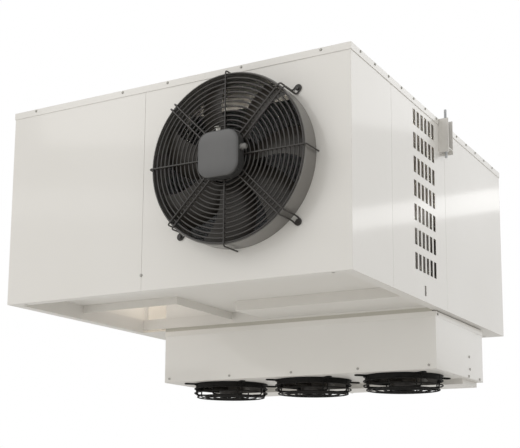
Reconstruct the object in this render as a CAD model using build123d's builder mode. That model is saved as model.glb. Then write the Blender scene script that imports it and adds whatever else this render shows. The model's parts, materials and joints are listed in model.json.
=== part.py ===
from build123d import *
import os
from math import cos, radians, sin

# A refrigeration unit for a cold room, in millimetres.
# X runs across the front, Y runs from the front to the back, Z is up.
# The origin is the centre of the four fixing holes, on the underside of the housing.
# A setback is a distance from the front face of the housing to the back.

# Housing
casing_width = 1136
casing_depth = 1300
casing_height = 600
sheet = 1.5
lid_lip = 20
lid_gap = 0.3
seam_gap = 0.6
sheet_hole_gap = 0.3
fold_depth = 14
fold_margin = 3
front_seam_x = -76.6
side_seam_setbacks = (272, 708)

# Louvre slots in the middle panel of the right side
slot_columns = 6
slot_rows = 7
slot_width = 20.5
slot_column_pitch = 31
slot_row_gap = 23.4
slot_last_drop = 59.6
slot_first_setback = 450
slot_first_height = 109
drain_slot_setback = 519
drain_slot_width = 13
drain_slot_height = 30
drain_slot_middle = 32

# Base frame
rail_width = 30
rear_rail_width = 62
rail_height = 45
rail_wall = 2.5
fixing_hole_radius = 5.5
fixing_hole_spacing = 1012
cross_member_setback = 657
cross_member_thickness = 3
cross_member_underside = 9

# Intake at the left of the pan, and the sunk sump at its right
intake_front_setback = 322
intake_right_x = -170
collar_drop = 24
sump_left_x = -50
sump_front_setback = 475
sump_drop = 31

# Hanger bracket on each side
bracket_setback = 658
bracket_width = 44
bracket_thickness = 4
bracket_reach = 28.8
bracket_drop = 108
bracket_back_thickness = 3
bracket_shelf_drop = 94
hanger_rod_radius = 4.25
hanger_thread_radius = 4.0
hanger_thread_margin = 1
hanger_rod_drop = 122
hanger_rod_rise = 35
rod_clearance = 0.4
rod_standoff = 13
nut_radius = 8.0
nut_height = 6.5

# Screws
screw_head_radius = 4.2
screw_head_height = 2.5
lid_screw_drop = 6
lid_screw_front_x = (-484, -158, -1, 240, 481)
lid_screw_side_pitch = 96
lid_screw_side_first = 60
seam_screw_height = 44.7
rear_screw_pitch = 250
rear_screw_count = 4

# Condenser fan
fan_x = 234
fan_low_margin = 87
fan_high_margin = 47
ring_wall = 3
ring_reach = 64
ring_rim = 4
wire = 4.5
guard_reach = 70
guard_inner_radius = 50
guard_rim_inset = 3
guard_ring_count = 15
guard_leg_gap = 7
spoke_gap = 17
foot_screw_gap = 18
foot_width = 26
foot_thickness = 3.5

# Condenser fan motor and rotor
stator_radius = 62
stator_length = 46
shaft_radius = 7.5
shaft_clearance = 0.05
shaft_end_gap = 1.5
rotor_shell_gap = 6
rotor_shell_wall = 4
rotor_shell_length = 92
rotor_shell_flats = 28
rotor_front_gap = 4
condenser_tip_gap = 6
condenser_blade_count = 7
condenser_blade_thickness = 3.5
condenser_blade_chord = 96
condenser_blade_pitch = 30
condenser_blade_camber = 0.11
blade_sink = 2

# Terminal box on the motor
terminal_width = 123
terminal_height = 126
terminal_depth = 36
terminal_corner = 35
terminal_edge = 4
terminal_gland_radius = 9
terminal_gland_length = 18
terminal_gland_height = 25

# Condensing section
divider_setback = 300
coil_front_setback = 214
coil_thickness = 76
coil_left_x = -52
coil_right_x = 536
coil_headroom = 80
coil_plate = 2.5
coil_plate_margin = 8
compressor_x = 300
compressor_radius = 80
compressor_height = 268
compressor_shoulder = 34
pot_sides = 24
compressor_foot = 168
compressor_foot_thickness = 5
grommet_radius = 12
grommet_height = 14
grommet_inset = 20
receiver_x = 70
receiver_radius = 52
receiver_height = 250
receiver_shoulder = 20
line_radius = 8
liquid_line_radius = 5
line_bend = 30
line_spacing = 46
line_over_box = 45
line_crossing = 28
receiver_inlet_height = 110
wall_clearance = 0.4
control_box_width = 330
control_box_height = 330
control_box_depth = 120
control_box_setback = 70
control_box_low = 150
control_cover_thickness = 2
inlet_gland_x = -470
inlet_gland_z = 110
inlet_gland_radius = 13
inlet_gland_bore = 7
inlet_gland_reach = 22
inlet_gland_collar = 17
inlet_gland_collar_depth = 7

# Evaporator section
evaporator_left_x = -440
evaporator_right_x = 544
evaporator_setback = 660
evaporator_length = 455
evaporator_drop = 180
evaporator_gap = 3
band_height = 17
band_proud = 1
shell_flange = 42
rear_window_margin = 26
gasket_width = 24
upper_box_headroom = 285
upper_box_wall = 38
upper_box_side_gap = 2
evaporator_coil_setback = 976
evaporator_coil_thickness = 94
evaporator_coil_margin = 44
evaporator_coil_headroom = 35.5

# Drip tray under the evaporator coil
tray_inset = 20
tray_setback = 962
tray_rear_inset = 8
tray_depth = 17
tray_hole_margin = 16
spout_radius = 7.5
spout_bore = 6
spout_reach = 30
spout_x = 52

# Evaporator fans
small_fan_count = 3
small_fan_pitch = 320
small_fan_middle_x = 57
small_fan_setback = 810
small_fan_hole_radius = 119
basket_radius = 128
basket_depth = 47
basket_inner_radius = 34
basket_ring_count = 4
basket_face_radius = 116
basket_side_rings = (12, 27)
basket_wire = 3.5
basket_rim_sides = 24
basket_foot_reach = 156
basket_foot_length = 18
basket_foot_gap = 15
small_stator_radius = 34
small_stator_height = 40
small_shaft_radius = 4
small_shaft_rise = 14
small_shell_gap = 3
small_shell_wall = 3
small_shell_lift = 3
small_shell_height = 46
small_shell_flats = 20
small_tip_gap = 5
small_blade_count = 5
small_blade_thickness = 2.5
small_blade_chord = 58
small_blade_pitch = 28
small_blade_camber = 0.1
small_blade_lift = 19

# Screws of the evaporator section
front_screw_x = (-421, -181, 51, 286, 520)
front_screw_rise = 13
side_screws = ((972, 71), (977, 31), (965, 7), (1078, 7))
band_screw_inset = 15

# Places worked out from the sizes
half_width = casing_width / 2
lap = sheet + lid_gap
hole_front_inset = lap + sheet + rail_width / 2
hole_rear_inset = lap + sheet + rear_rail_width / 2
front = -(casing_depth + hole_front_inset - hole_rear_inset) / 2
rear = front + casing_depth
skin_x = half_width - lap
inner_x = skin_x - sheet
front_skin = front + lap
front_inner = front_skin + sheet
rear_skin = rear - lap
rear_inner = rear_skin - sheet
top_inner = casing_height - sheet
pan_top = rail_height + sheet
rail_inner_x = inner_x - rail_width
front_rail_back = front_inner + rail_width
rear_rail_front = rear_inner - rear_rail_width
cross_front = front + cross_member_setback
cross_back = cross_front + cross_member_thickness
evaporator_front = front + evaporator_setback
evaporator_rear = evaporator_front + evaporator_length
upper_box_right_x = min(evaporator_right_x, rail_inner_x) - upper_box_side_gap
small_fan_y = front + small_fan_setback
ring_outer_radius = (casing_height - fan_low_margin - fan_high_margin) / 2
fan_z = fan_low_margin + ring_outer_radius
guard_outer_radius = ring_outer_radius - guard_rim_inset
guard_leg_radius = ring_outer_radius + guard_leg_gap
foot_screw_radius = ring_outer_radius + foot_screw_gap
slot_row_pitch = (casing_height - slot_first_height - slot_last_drop) / (slot_rows - 1)
slot_height = slot_row_pitch - slot_row_gap
bracket_low = casing_height - bracket_drop
bracket_shelf_height = casing_height - bracket_shelf_drop
hanger_rod_low = casing_height - hanger_rod_drop
lid_screw_height = casing_height - lid_screw_drop
coil_height = casing_height - coil_headroom
upper_box_top = casing_height - upper_box_headroom
small_fan_x = [small_fan_middle_x + (i - (small_fan_count - 1) / 2) * small_fan_pitch
               for i in range(small_fan_count)]


def middle(span):
    return (span[0] + span[1]) / 2


def block(x, y, z, mode=Mode.ADD):
    # a box from its low to its high value in each direction
    with Locations((middle(x), middle(y), middle(z))):
        Box(x[1] - x[0], y[1] - y[0], z[1] - z[0], mode=mode)


def finish(builder, label):
    # names the piece and writes it to its own file
    builder.part.label = label
    export_step(builder.part, f"parts/{label}.step")


def hexagon_heads(planes, radius=screw_head_radius, height=screw_head_height):
    # one hexagon head on each plane, standing out along the plane's normal
    for plane in planes:
        with BuildSketch(plane) as head:
            RegularPolygon(radius, 6)
        extrude(head.sketch, amount=height)


os.makedirs("parts", exist_ok=True)

# Base frame: square tube rails round the housing, with the fixing holes in the front and rear ones,
# and the right one open behind the drain slot of the side cover
hole_rows = {"front": front + hole_front_inset, "rear": rear - hole_rear_inset}
rail_spans = {"front": (front_inner, front_rail_back), "rear": (rear_rail_front, rear_inner)}
for side, span in rail_spans.items():
    with BuildPart() as rail:
        with BuildSketch(Plane.YZ.offset(-inner_x)) as section:
            with Locations((middle(span), rail_height / 2)):
                Rectangle(span[1] - span[0], rail_height)
                Rectangle(span[1] - span[0] - 2 * rail_wall, rail_height - 2 * rail_wall, mode=Mode.SUBTRACT)
        extrude(amount=2 * inner_x)
        with BuildSketch(Plane.XY):
            with Locations((0, hole_rows[side])):
                with GridLocations(fixing_hole_spacing, 0, 2, 1):
                    Circle(fixing_hole_radius)
        extrude(amount=rail_height, mode=Mode.SUBTRACT)
    finish(rail, f"base_rail_{side}")

for side, low_x in (("left", -inner_x), ("right", rail_inner_x)):
    with BuildPart() as rail:
        with BuildSketch(Plane.XZ.offset(-front_rail_back)):
            with Locations((low_x + rail_width / 2, rail_height / 2)):
                Rectangle(rail_width, rail_height)
                Rectangle(rail_width - 2 * rail_wall, rail_height - 2 * rail_wall, mode=Mode.SUBTRACT)
        extrude(amount=front_rail_back - rear_rail_front)
        if side == "right":
            with BuildSketch(Plane.YZ.offset(inner_x - rail_wall)):
                with Locations((front + drain_slot_setback, drain_slot_middle)):
                    Rectangle(drain_slot_width, drain_slot_height)
            extrude(amount=rail_wall, mode=Mode.SUBTRACT)
    finish(rail, f"base_rail_{side}")

with BuildPart() as cross_member:
    block((-rail_inner_x, rail_inner_x), (cross_front, cross_back), (cross_member_underside, rail_height))
finish(cross_member, "base_cross_member")

# Recessed base pan, cut away for the intake at the left and for the sump at the right
intake_front = front + intake_front_setback
sump_front = front + sump_front_setback
with BuildPart() as base_pan:
    with BuildSketch(Plane.XY.offset(rail_height)):
        with BuildLine():
            Polyline(
                (-rail_inner_x, front_rail_back), (rail_inner_x, front_rail_back),
                (rail_inner_x, sump_front), (sump_left_x, sump_front),
                (sump_left_x, cross_front), (intake_right_x, cross_front),
                (intake_right_x, intake_front), (-rail_inner_x, intake_front), close=True)
        make_face()
    extrude(amount=sheet)
finish(base_pan, "base_pan")

# Collar hanging from the edge of the pan round the intake, turned outward at its lower edge
with BuildPart() as intake_collar:
    collar_low = rail_height - collar_drop
    block((-rail_inner_x, intake_right_x), (intake_front, intake_front + sheet), (collar_low, rail_height))
    block((intake_right_x - sheet, intake_right_x), (intake_front, cross_front), (collar_low, rail_height))
finish(intake_collar, "intake_collar")

# Sunk sump that the compressor and the receiver stand in
sump_floor = rail_height - sump_drop
with BuildPart() as sump_tray:
    block((sump_left_x, rail_inner_x), (sump_front, cross_front), (sump_floor, pan_top))
    block((sump_left_x + sheet, rail_inner_x - sheet), (sump_front + sheet, cross_front - sheet),
          (sump_floor + sheet, pan_top), mode=Mode.SUBTRACT)
finish(sump_tray, "sump_tray")

# Flush floor plates at the left of the evaporator section and behind it
with BuildPart() as floor_left:
    block((-rail_inner_x, evaporator_left_x), (cross_back, rear_rail_front), (0, sheet))
finish(floor_left, "floor_left_plate")

with BuildPart() as floor_rear:
    block((evaporator_left_x, rail_inner_x), (evaporator_rear, rear_rail_front), (0, sheet))
finish(floor_rear, "floor_rear_plate")

# Lid with a lip turned down all round
with BuildPart() as lid:
    block((-half_width, half_width), (front, rear), (casing_height - lid_lip, casing_height))
    lid_underside = lid.faces().sort_by(Axis.Z)[0]
    offset(amount=-sheet, openings=lid_underside)
finish(lid, "lid")

fold_span = (pan_top + fold_margin, top_inner - fold_margin)


def upright_cover(x, y, inward, along, folded_ends=(0, 1)):
    # a sheet cover with upright folded edges at its ends; inward is +1 or -1 across the sheet
    block(x, y, (0, top_inner))
    for end in folded_ends:
        if along == "x":
            edge = x[0] if end == 0 else x[1]
            fold_x = (edge, edge + sheet) if end == 0 else (edge - sheet, edge)
            fold_y = (y[1], y[1] + fold_depth) if inward > 0 else (y[0] - fold_depth, y[0])
            block(fold_x, fold_y, fold_span)
        else:
            edge = y[0] if end == 0 else y[1]
            fold_y = (edge, edge + sheet) if end == 0 else (edge - sheet, edge)
            fold_x = (x[1], x[1] + fold_depth) if inward > 0 else (x[0] - fold_depth, x[0])
            block(fold_x, fold_y, fold_span)


# Front covers: the right one carries the condenser fan
with BuildPart() as front_left_panel:
    upright_cover((-skin_x, front_seam_x - seam_gap / 2), (front_skin, front_inner), 1, "x", (1,))
finish(front_left_panel, "front_left_panel")

fan_plane = Plane(origin=(fan_x, front_skin, fan_z), x_dir=(1, 0, 0), z_dir=(0, -1, 0))
with BuildPart() as front_panel:
    upright_cover((front_seam_x + seam_gap / 2, skin_x), (front_skin, front_inner), 1, "x", (0,))
    with BuildSketch(fan_plane):
        Circle(ring_outer_radius)
    extrude(amount=-sheet, mode=Mode.SUBTRACT)
finish(front_panel, "front_panel")

# Side covers: three on each side, butted behind the front cover and between each other
seams = [front_inner] + [front + s for s in side_seam_setbacks] + [rear_inner]
for side, x in (("left", (-skin_x, -inner_x)), ("right", (inner_x, skin_x))):
    inward = 1 if side == "left" else -1
    for number, name in enumerate(("front", "middle", "rear")):
        y = (seams[number] + (seam_gap / 2 if number else 0),
             seams[number + 1] - (seam_gap / 2 if number < 2 else 0))
        with BuildPart() as cover:
            upright_cover(x, y, inward, "y")
            if side == "right" and name == "middle":
                slot_middle_y = front + slot_first_setback + (slot_columns - 1) * slot_column_pitch / 2
                slot_middle_z = slot_first_height + (slot_rows - 1) * slot_row_pitch / 2
                with BuildSketch(Plane.YZ.offset(inner_x)):
                    with Locations((slot_middle_y, slot_middle_z)):
                        with GridLocations(slot_column_pitch, slot_row_pitch, slot_columns, slot_rows):
                            Rectangle(slot_width, slot_height)
                    with Locations((front + drain_slot_setback, drain_slot_middle)):
                        Rectangle(drain_slot_width, drain_slot_height)
                extrude(amount=sheet, mode=Mode.SUBTRACT)
        finish(cover, f"{side}_{name}_panel")

gland_plane = Plane(origin=(inlet_gland_x, rear_skin, inlet_gland_z), x_dir=(-1, 0, 0), z_dir=(0, 1, 0))
with BuildPart() as rear_panel:
    upright_cover((-skin_x, skin_x), (rear_inner, rear_skin), -1, "x", ())
    with BuildSketch(gland_plane):
        Circle(inlet_gland_radius + sheet_hole_gap)
    extrude(amount=-sheet, mode=Mode.SUBTRACT)
finish(rear_panel, "rear_panel")

# Inlet gland for the power cable: a collar and a narrower cap outside, a spigot through the sheet
with BuildPart() as inlet_gland:
    with BuildSketch(gland_plane.offset(-sheet - inlet_gland_collar_depth)):
        RegularPolygon(inlet_gland_radius, 12)
    extrude(amount=sheet + inlet_gland_collar_depth + inlet_gland_reach)
    with BuildSketch(gland_plane):
        RegularPolygon(inlet_gland_collar, 6)
    extrude(amount=inlet_gland_collar_depth)
    with BuildSketch(gland_plane.offset(-sheet - inlet_gland_collar_depth)):
        Circle(inlet_gland_bore)
    extrude(amount=sheet + inlet_gland_collar_depth + inlet_gland_reach, mode=Mode.SUBTRACT)
finish(inlet_gland, "inlet_gland")

# Hanger brackets: an open channel on each side, with a shelf that the threaded rod hangs in
bracket_front = front + bracket_setback
bracket_rear = bracket_front + bracket_width
bracket_back = skin_x + bracket_back_thickness
bracket_tip = bracket_back + bracket_reach
lip_low = casing_height - lid_lip
rod_x = bracket_back + rod_standoff
for side, sign in (("left", -1), ("right", 1)):
    with BuildPart() as bracket:
        with BuildSketch(Plane.XY.offset(bracket_low)):
            with BuildLine():
                Polyline(
                    (sign * skin_x, bracket_front), (sign * bracket_tip, bracket_front),
                    (sign * bracket_tip, bracket_front + bracket_thickness),
                    (sign * bracket_back, bracket_front + bracket_thickness),
                    (sign * bracket_back, bracket_rear - bracket_thickness),
                    (sign * bracket_tip, bracket_rear - bracket_thickness),
                    (sign * bracket_tip, bracket_rear), (sign * skin_x, bracket_rear), close=True)
            make_face()
        extrude(amount=casing_height - bracket_low)
        block(sorted((sign * skin_x, sign * (half_width + lid_gap))), (bracket_front, bracket_rear),
              (lip_low - lid_gap, casing_height), mode=Mode.SUBTRACT)
        block(sorted((sign * bracket_back, sign * bracket_tip)), (bracket_front, bracket_rear),
              (bracket_shelf_height - bracket_thickness, bracket_shelf_height))
        with Locations((sign * rod_x, middle((bracket_front, bracket_rear)), bracket_shelf_height)):
            Hole(hanger_rod_radius + rod_clearance)
    finish(bracket, f"hanger_bracket_{side}")

hanger_plane = Plane(origin=(0, middle((bracket_front, bracket_rear)), hanger_rod_low))
rod_top = casing_height + hanger_rod_rise
with BuildPart() as hanger_rods:
    with BuildSketch(hanger_plane):
        with GridLocations(2 * rod_x, 0, 2, 1):
            Circle(hanger_thread_radius)
    extrude(amount=rod_top - hanger_rod_low)
    thread_end = bracket_shelf_height + nut_height + hanger_thread_margin
    with BuildSketch(hanger_plane.offset(thread_end - hanger_rod_low)):
        with GridLocations(2 * rod_x, 0, 2, 1):
            Circle(hanger_rod_radius)
    extrude(amount=rod_top - thread_end)
finish(hanger_rods, "hanger_rods")

with BuildPart() as hanger_nuts:
    for seat in (bracket_shelf_height - bracket_thickness - nut_height, bracket_shelf_height):
        with BuildSketch(hanger_plane.offset(seat - hanger_rod_low)):
            with GridLocations(2 * rod_x, 0, 2, 1):
                RegularPolygon(nut_radius, 6)
                Circle(hanger_thread_radius, mode=Mode.SUBTRACT)
        extrude(amount=nut_height)
finish(hanger_nuts, "hanger_nuts")

# Screws round the lip of the lid
side_screw_count = int((casing_depth - 2 * lid_screw_side_first) // lid_screw_side_pitch) + 1
lid_heads = []
for x in lid_screw_front_x:
    lid_heads.append(Plane(origin=(x, front, lid_screw_height), z_dir=(0, -1, 0)))
    lid_heads.append(Plane(origin=(x, rear, lid_screw_height), z_dir=(0, 1, 0)))
for number in range(side_screw_count):
    y = front + lid_screw_side_first + number * lid_screw_side_pitch
    lid_heads.append(Plane(origin=(half_width, y, lid_screw_height), z_dir=(1, 0, 0)))
    lid_heads.append(Plane(origin=(-half_width, y, lid_screw_height), z_dir=(-1, 0, 0)))
with BuildPart() as lid_screws:
    hexagon_heads(lid_heads)
finish(lid_screws, "lid_screws")

# Screws of the covers: one at the foot of the front seam, a row at the foot of the rear cover
with BuildPart() as panel_screws:
    rear_row = [(number - (rear_screw_count - 1) / 2) * rear_screw_pitch for number in range(rear_screw_count)]
    cover_heads = [Plane(origin=(front_seam_x, front_skin, seam_screw_height), z_dir=(0, -1, 0))]
    cover_heads += [Plane(origin=(x, rear_skin, rail_height / 2), z_dir=(0, 1, 0)) for x in rear_row]
    hexagon_heads(cover_heads)
finish(panel_screws, "panel_screws")

# Nozzle ring of the condenser fan: a cylinder welded through the panel, with a rolled rim
with BuildPart() as fan_ring:
    with BuildSketch(Plane(origin=(fan_x, front_skin, fan_z), x_dir=(1, 0, 0), z_dir=(0, 0, 1))):
        with BuildLine():
            ring_inner = ring_outer_radius - ring_wall
            Polyline(
                (ring_inner, -ring_reach), (ring_outer_radius + ring_rim / 2, -ring_reach),
                (ring_outer_radius + ring_rim / 2, ring_rim - ring_reach), (ring_outer_radius, ring_rim - ring_reach),
                (ring_outer_radius, sheet), (ring_inner, sheet), close=True)
        make_face()
    revolve(axis=Axis((fan_x, front_skin, fan_z), (0, 1, 0)))
finish(fan_ring, "fan_ring")


def ring_sides(radius, coarse):
    # more straight sides on a larger ring
    return 12 if radius < coarse * 0.4 else 16 if radius < coarse * 0.7 else 24


# Wire guard: rings in one plane, single spokes up, down and sideways, doubled spokes at the diagonals.
# The wires are welded where they touch face to face, and each stays a solid of its own.
guard_plane = fan_plane.offset(guard_reach - wire)
spoke_front = guard_reach + wire
ring_step = (guard_outer_radius - guard_inner_radius) / (guard_ring_count - 1)
spoke_length = guard_leg_radius + wire - guard_inner_radius
spoke_middle = guard_inner_radius - wire / 2 + spoke_length / 2
with BuildPart() as guard_rings:
    with BuildSketch(guard_plane):
        for number in reversed(range(guard_ring_count)):
            radius = guard_inner_radius + number * ring_step
            sides = ring_sides(radius, guard_outer_radius)
            RegularPolygon(radius + wire / 2, sides)
            RegularPolygon(radius - wire / 2, sides, mode=Mode.SUBTRACT)
    extrude(amount=wire)

with BuildPart() as guard_spokes:
    with BuildSketch(fan_plane.offset(guard_reach)):
        with PolarLocations(spoke_middle, 4):
            Rectangle(spoke_length, wire)
        with PolarLocations(spoke_middle, 4, start_angle=45):
            with GridLocations(0, spoke_gap, 1, 2):
                Rectangle(spoke_length, wire)
    extrude(amount=wire)
    with BuildSketch(fan_plane):
        with PolarLocations(guard_leg_radius, 4):
            Rectangle(wire, wire)
        with PolarLocations(guard_leg_radius, 4, start_angle=45):
            with GridLocations(0, spoke_gap, 1, 2):
                Rectangle(wire, wire)
    extrude(amount=guard_reach)
    with BuildSketch(fan_plane):
        with PolarLocations(foot_screw_radius, 4, start_angle=45):
            Rectangle(foot_width + wire, spoke_gap + wire)
            Rectangle(foot_width - wire, spoke_gap - wire, mode=Mode.SUBTRACT)
    extrude(amount=foot_thickness)

fan_guard = Compound(guard_rings.part.solids() + guard_spokes.part.solids(), label="fan_guard")
export_step(fan_guard, "parts/fan_guard.step")


# Screws of the guard's feet
with BuildPart() as guard_screws:
    with BuildSketch(fan_plane.offset(foot_thickness)):
        with PolarLocations(foot_screw_radius, 4, start_angle=45):
            RegularPolygon(spoke_gap / 2, 6)
    extrude(amount=screw_head_height)
    with BuildSketch(fan_plane):
        with PolarLocations(foot_screw_radius, 4, start_angle=45):
            RegularPolygon(spoke_gap / 2 - wire, 6)
    extrude(amount=foot_thickness)
finish(guard_screws, "guard_screws")

# Motor of the condenser fan: the stator behind the guard's inner rings, and its shaft
stator_front = guard_reach - wire
rotor_front = stator_front - rotor_front_gap
shell_inner = stator_radius + rotor_shell_gap
rotor_back = rotor_front - rotor_shell_length
with BuildPart() as fan_motor:
    with BuildSketch(fan_plane.offset(stator_front)):
        Circle(stator_radius)
    extrude(amount=-stator_length)
    with BuildSketch(fan_plane.offset(stator_front - stator_length)):
        Circle(shaft_radius)
    extrude(amount=-(rotor_shell_length - stator_length + rotor_front_gap + shaft_end_gap))
finish(fan_motor, "fan_motor")

# Terminal box in front of the guard, with its gland at the right
with BuildPart() as terminal_box:
    with BuildSketch(fan_plane.offset(spoke_front)):
        RectangleRounded(terminal_width, terminal_height, terminal_corner)
    extrude(amount=terminal_depth)
    box_face = terminal_box.faces().sort_by(Axis.Y)[0]
    chamfer(box_face.edges(), length=terminal_edge)
finish(terminal_box, "terminal_box")

with BuildPart() as terminal_gland:
    gland_y = front_skin - spoke_front - terminal_depth / 2
    with BuildSketch(Plane(origin=(fan_x + terminal_width / 2, gland_y, fan_z + terminal_gland_height / 2),
                           x_dir=(0, 1, 0), z_dir=(1, 0, 0))):
        RegularPolygon(terminal_gland_radius, 6)
    extrude(amount=terminal_gland_length)
finish(terminal_gland, "terminal_gland")


def blades(count, centre, axis, root_radius, tip_radius, chord, pitch, camber_share, thickness):
    # cambered blades of three flats each, spaced evenly about the axis and drawn out from root to tip
    half, flat, camber = chord / 2, chord / 5, camber_share * chord
    side = Vector(1, 0, 0)
    up = axis.cross(side)
    for number in range(count):
        angle = radians(360 * number / count)
        outward = side * cos(angle) + up * sin(angle)
        chord_direction = axis.rotate(Axis((0, 0, 0), outward), 90 - pitch)
        root_plane = Plane(origin=centre + outward * root_radius, x_dir=chord_direction, z_dir=outward)
        with BuildSketch(root_plane) as section:
            Polygon(
                (-half, 0), (-flat, camber), (flat, camber), (half, 0), (half, thickness),
                (flat, camber + thickness), (-flat, camber + thickness), (-half, thickness), align=None)
        extrude(section.sketch, amount=tip_radius - root_radius)


# Rotor of the condenser fan: a cup that turns round the stator, with blades on its wall
shell_outer = shell_inner + rotor_shell_wall
shell_end = rotor_back + rotor_shell_wall
with BuildPart() as condenser_rotor:
    with BuildSketch(fan_plane.offset(rotor_front)):
        RegularPolygon(shell_outer, rotor_shell_flats)
    extrude(amount=-rotor_shell_length)
    blade_centre = Vector(fan_x, front_skin - (rotor_front + rotor_back) / 2, fan_z)
    blades(condenser_blade_count, blade_centre, Vector(0, 1, 0), shell_outer - blade_sink,
           ring_inner - condenser_tip_gap, condenser_blade_chord, condenser_blade_pitch,
           condenser_blade_camber, condenser_blade_thickness)
    with BuildSketch(fan_plane.offset(rotor_front)):
        Circle(shell_inner)
    extrude(amount=-(rotor_shell_length - rotor_shell_wall), mode=Mode.SUBTRACT)
    with BuildSketch(fan_plane.offset(rotor_back)):
        Circle(shaft_radius + shaft_clearance)
    extrude(amount=rotor_shell_wall, mode=Mode.SUBTRACT)
finish(condenser_rotor, "condenser_rotor")

# Divider between the control bay and the fan bay
with BuildPart() as bay_divider:
    block((front_seam_x - sheet / 2, front_seam_x + sheet / 2),
          (front_inner + fold_depth + fold_margin, front + divider_setback), (pan_top, top_inner))
finish(bay_divider, "bay_divider")

# Control box on the divider, closed by its cover
control_x = (front_seam_x - sheet / 2 - control_box_width, front_seam_x - sheet / 2)
control_y = (front + control_box_setback, front + control_box_setback + control_box_depth)
control_z = (control_box_low, control_box_low + control_box_height)
with BuildPart() as control_box:
    block(control_x, control_y, control_z)
    offset(amount=-sheet, openings=control_box.faces().sort_by(Axis.Y)[0])
finish(control_box, "control_box")

with BuildPart() as control_cover:
    block(control_x, (control_y[0] - control_cover_thickness, control_y[0]), control_z)
finish(control_cover, "control_cover")

# Condenser coil behind the fan: a finned block between two end plates, with tube bends at the right
coil_y = (front + coil_front_setback, front + coil_front_setback + coil_thickness)
with BuildPart() as condenser_coil:
    block((coil_left_x, coil_right_x), coil_y, (pan_top, pan_top + coil_height))
    for edge in (coil_left_x - coil_plate, coil_right_x):
        block((edge, edge + coil_plate), (coil_y[0] - coil_plate_margin, coil_y[1] + coil_plate_margin),
              (pan_top, pan_top + coil_height + coil_plate_margin))
finish(condenser_coil, "condenser_coil")

# Compressor on four rubber grommets in the sump
sump_top = sump_floor + sheet
machine_y = middle((sump_front, cross_front))
foot_z = sump_top + grommet_height
compressor_base = foot_z + compressor_foot_thickness
with BuildPart() as compressor:
    with BuildSketch(Plane.XY.offset(foot_z)):
        with Locations((compressor_x, machine_y)):
            Rectangle(compressor_foot, compressor_foot)
    extrude(amount=compressor_foot_thickness)
    with BuildSketch(Plane.XY.offset(compressor_base)):
        with Locations((compressor_x, machine_y)):
            RegularPolygon(compressor_radius, pot_sides)
    extrude(amount=compressor_height)
    chamfer(compressor.faces().sort_by(Axis.Z)[-1].edges(), length=compressor_shoulder)
finish(compressor, "compressor")

with BuildPart() as grommets:
    with BuildSketch(Plane.XY.offset(sump_top)):
        with Locations((compressor_x, machine_y)):
            with GridLocations(compressor_foot - 2 * grommet_inset, compressor_foot - 2 * grommet_inset, 2, 2):
                RegularPolygon(grommet_radius, 12)
    extrude(amount=grommet_height)
finish(grommets, "compressor_grommets")

# Liquid receiver standing in the sump
with BuildPart() as liquid_receiver:
    with BuildSketch(Plane.XY.offset(sump_top)):
        with Locations((receiver_x, machine_y)):
            RegularPolygon(receiver_radius, pot_sides, rotation=180 / pot_sides)
    extrude(amount=receiver_height)
    chamfer(liquid_receiver.faces().sort_by(Axis.Z)[-1].edges(), length=receiver_shoulder)
finish(liquid_receiver, "liquid_receiver")

# Insulated upper box over the evaporator, open below
upper_box_x = (evaporator_left_x, upper_box_right_x)
upper_box_y = (evaporator_front, evaporator_rear)
box_inner_x = (upper_box_x[0] + upper_box_wall, upper_box_x[1] - upper_box_wall)
box_inner_y = (upper_box_y[0] + upper_box_wall, upper_box_y[1] - upper_box_wall)
evap_coil_y = (front + evaporator_coil_setback, front + evaporator_coil_setback + evaporator_coil_thickness)
suction_x = compressor_x + line_spacing / 2
liquid_x = receiver_x
with BuildPart() as upper_box:
    block(upper_box_x, upper_box_y, (cross_member_underside, upper_box_top))
    block(box_inner_x, box_inner_y, (cross_member_underside, upper_box_top - upper_box_wall), mode=Mode.SUBTRACT)
    with BuildSketch(Plane.XY.offset(upper_box_top)):
        with Locations((suction_x, middle(evap_coil_y))):
            Circle(line_radius + wall_clearance)
        with Locations((liquid_x, middle(evap_coil_y))):
            Circle(liquid_line_radius + wall_clearance)
    extrude(amount=-upper_box_wall, mode=Mode.SUBTRACT)
finish(upper_box, "evaporator_upper_box")

# Gasket between the evaporator section and the housing
shell_top = -evaporator_gap
with BuildPart() as gasket:
    gasket_z = (shell_top, cross_member_underside)
    block(upper_box_x, upper_box_y, gasket_z)
    block((upper_box_x[0] + gasket_width, upper_box_x[1] - gasket_width),
          (upper_box_y[0] + gasket_width, upper_box_y[1] - gasket_width), gasket_z, mode=Mode.SUBTRACT)
finish(gasket, "evaporator_gasket")

# Sheet shell of the evaporator section, with a band at its top and a window at its rear
shell_x = (evaporator_left_x, evaporator_right_x)
plate_top = sheet - evaporator_drop
with BuildPart() as evaporator_shell:
    block(shell_x, (evaporator_front, evaporator_rear), (plate_top, shell_top))
    block((shell_x[0] - band_proud, shell_x[1] + band_proud),
          (evaporator_front - band_proud, evaporator_rear + band_proud), (shell_top - band_height, shell_top))
    block((shell_x[0] + sheet, shell_x[1] - sheet), (evaporator_front + sheet, evaporator_rear - sheet),
          (plate_top, shell_top - sheet), mode=Mode.SUBTRACT)
    block((shell_x[0] + shell_flange, shell_x[1] - shell_flange),
          (evaporator_front + shell_flange, evaporator_rear - shell_flange),
          (shell_top - sheet, shell_top), mode=Mode.SUBTRACT)
    block((shell_x[0] + rear_window_margin, shell_x[1] - rear_window_margin),
          (evaporator_rear - sheet, evaporator_rear),
          (plate_top + rear_window_margin, shell_top - band_height - sheet), mode=Mode.SUBTRACT)
finish(evaporator_shell, "evaporator_shell")

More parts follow.
